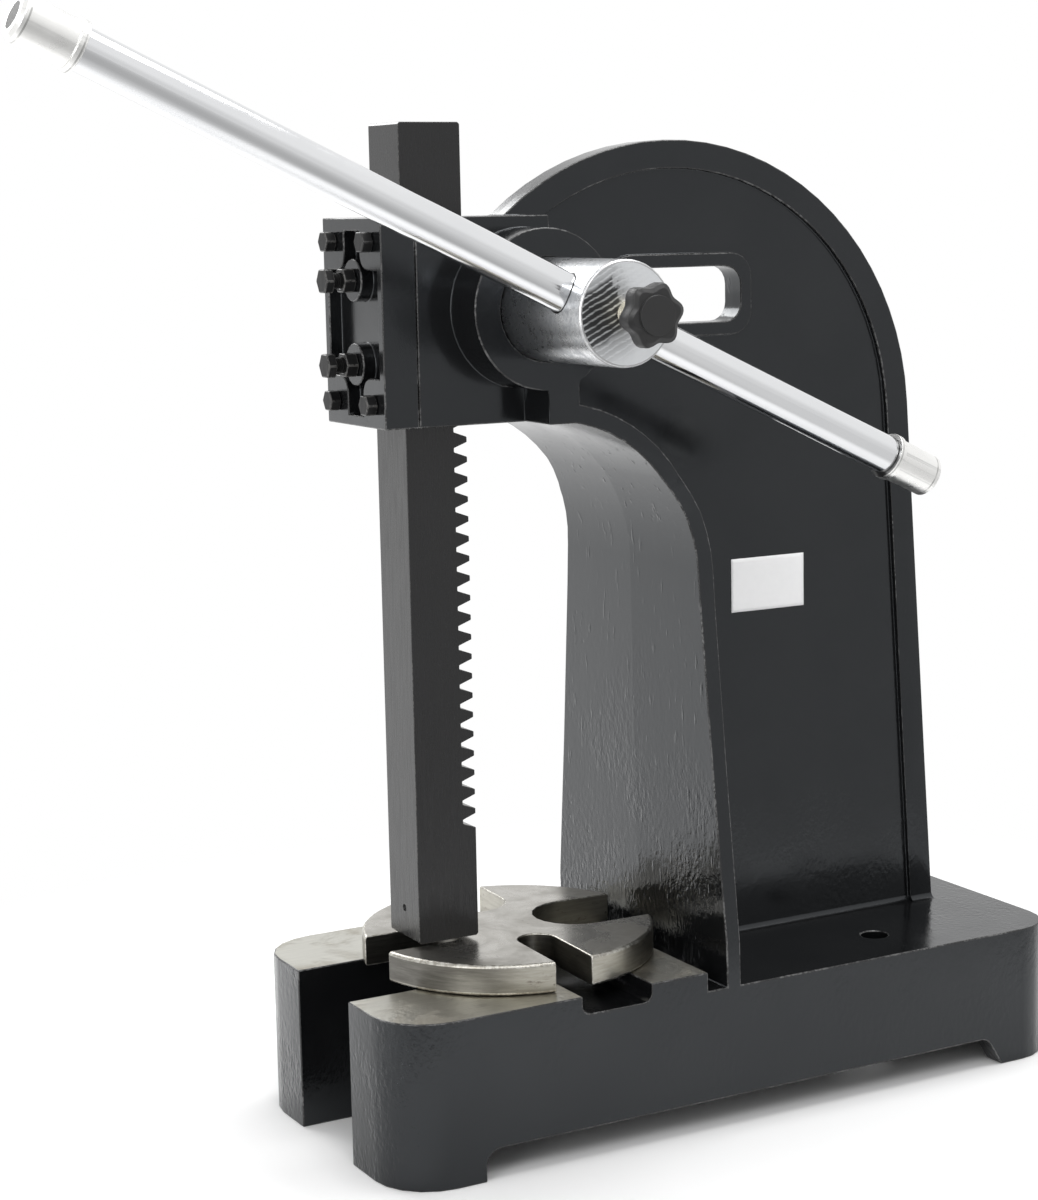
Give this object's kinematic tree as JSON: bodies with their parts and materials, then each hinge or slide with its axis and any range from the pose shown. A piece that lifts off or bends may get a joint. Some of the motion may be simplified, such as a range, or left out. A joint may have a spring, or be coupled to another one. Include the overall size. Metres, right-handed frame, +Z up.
{
  "type": "arbor press",
  "caption": "Bench arbor press: C-shaped cast frame with a forked base, square rack ram, cross bar lever with a clamp knob and a slotted round anvil plate.",
  "frame": {"origin": "centre of the ram's lower end, with the ram 2.1 mm above the anvil plate, as in the picture", "axes": "+Z up along the ram, -Y to the front of the press, where the cover plate is, +X to the lever and its hub"},
  "size_m": [0.2833, 0.6584, 0.6355],
  "materials": {
    "black_paint": "gloss black enamel on a casting",
    "ground_steel": "ground and lightly stained",
    "turned_steel": "turned bright",
    "chrome": "polished plating",
    "black_steel": "black oxide",
    "black_plastic": "satin moulded",
    "zinc": "zinc plated",
    "bronze": "machined, hidden behind the cover"
  },
  "bodies": {
    "frame": {"frame_casting": "black_paint", "cover_plate": "black_paint", "gib_strip": "bronze", "cover_bolt_upper_left": "black_steel", "cover_bolt_upper_right": "black_steel", "cover_bolt_lower_left": "black_steel", "cover_bolt_lower_right": "black_steel", "lock_nut_upper": "black_steel", "lock_nut_lower": "black_steel", "bearing_cap": "black_paint", "cap_screw_1": "black_steel", "cap_screw_2": "black_steel", "cap_screw_3": "black_steel", "plate_pin": "turned_steel"},
    "ram_body": {"ram": "black_steel"},
    "pinion": {"pinion_shaft": "turned_steel", "shaft_washer": "black_steel", "shaft_bolt": "black_steel"},
    "lever": {"lever_bar": "chrome", "lever_cap_front": "chrome", "lever_cap_rear": "chrome"},
    "knob": {"star_knob": "black_plastic", "knob_stud": "zinc"},
    "plate": {"anvil_plate": "ground_steel"},
    "gib_screw_top": {"gib_screw_upper": "black_steel"},
    "gib_screw_bottom": {"gib_screw_lower": "black_steel"}
  },
  "joints": [
    {"name": "pinion_turn", "type": "hinge", "parent": "frame", "child": "pinion", "pos_m": [0, 0.046, 0.3623], "axis": [-1, 0, 0], "range_deg": [-3.2, 520]},
    {"name": "ram_slide", "type": "slide", "parent": "frame", "child": "ram_body", "axis": [0, 0, 1], "range_m": [-0.0018, 0.278]},
    {"name": "lever_slide", "type": "slide", "parent": "pinion", "child": "lever", "axis": [0, 0.9041, -0.4274], "range_m": [-0.175, 0.281]},
    {"name": "knob_turn", "type": "hinge", "parent": "pinion", "child": "knob", "pos_m": [0.171, 0.046, 0.3623], "axis": [1, 0, 0], "range_deg": [0, 360]},
    {"name": "plate_turn", "type": "hinge", "parent": "frame", "child": "plate", "pos_m": [0, 0.0482, -0.02], "axis": [0, 0, 1], "continuous": true},
    {"name": "gib_screw_top_turn", "type": "hinge", "parent": "frame", "child": "gib_screw_top", "pos_m": [0, -0.0534, 0.37935], "axis": [0, -1, 0], "range_deg": [-180, 180]},
    {"name": "gib_screw_bottom_turn", "type": "hinge", "parent": "frame", "child": "gib_screw_bottom", "pos_m": [0, -0.0534, 0.33275], "axis": [0, -1, 0], "range_deg": [-180, 180]}
  ],
  "couplings": [
    {"joint": "ram_slide", "follows": "pinion_turn", "m_per_rad": 0.0306}
  ]
}
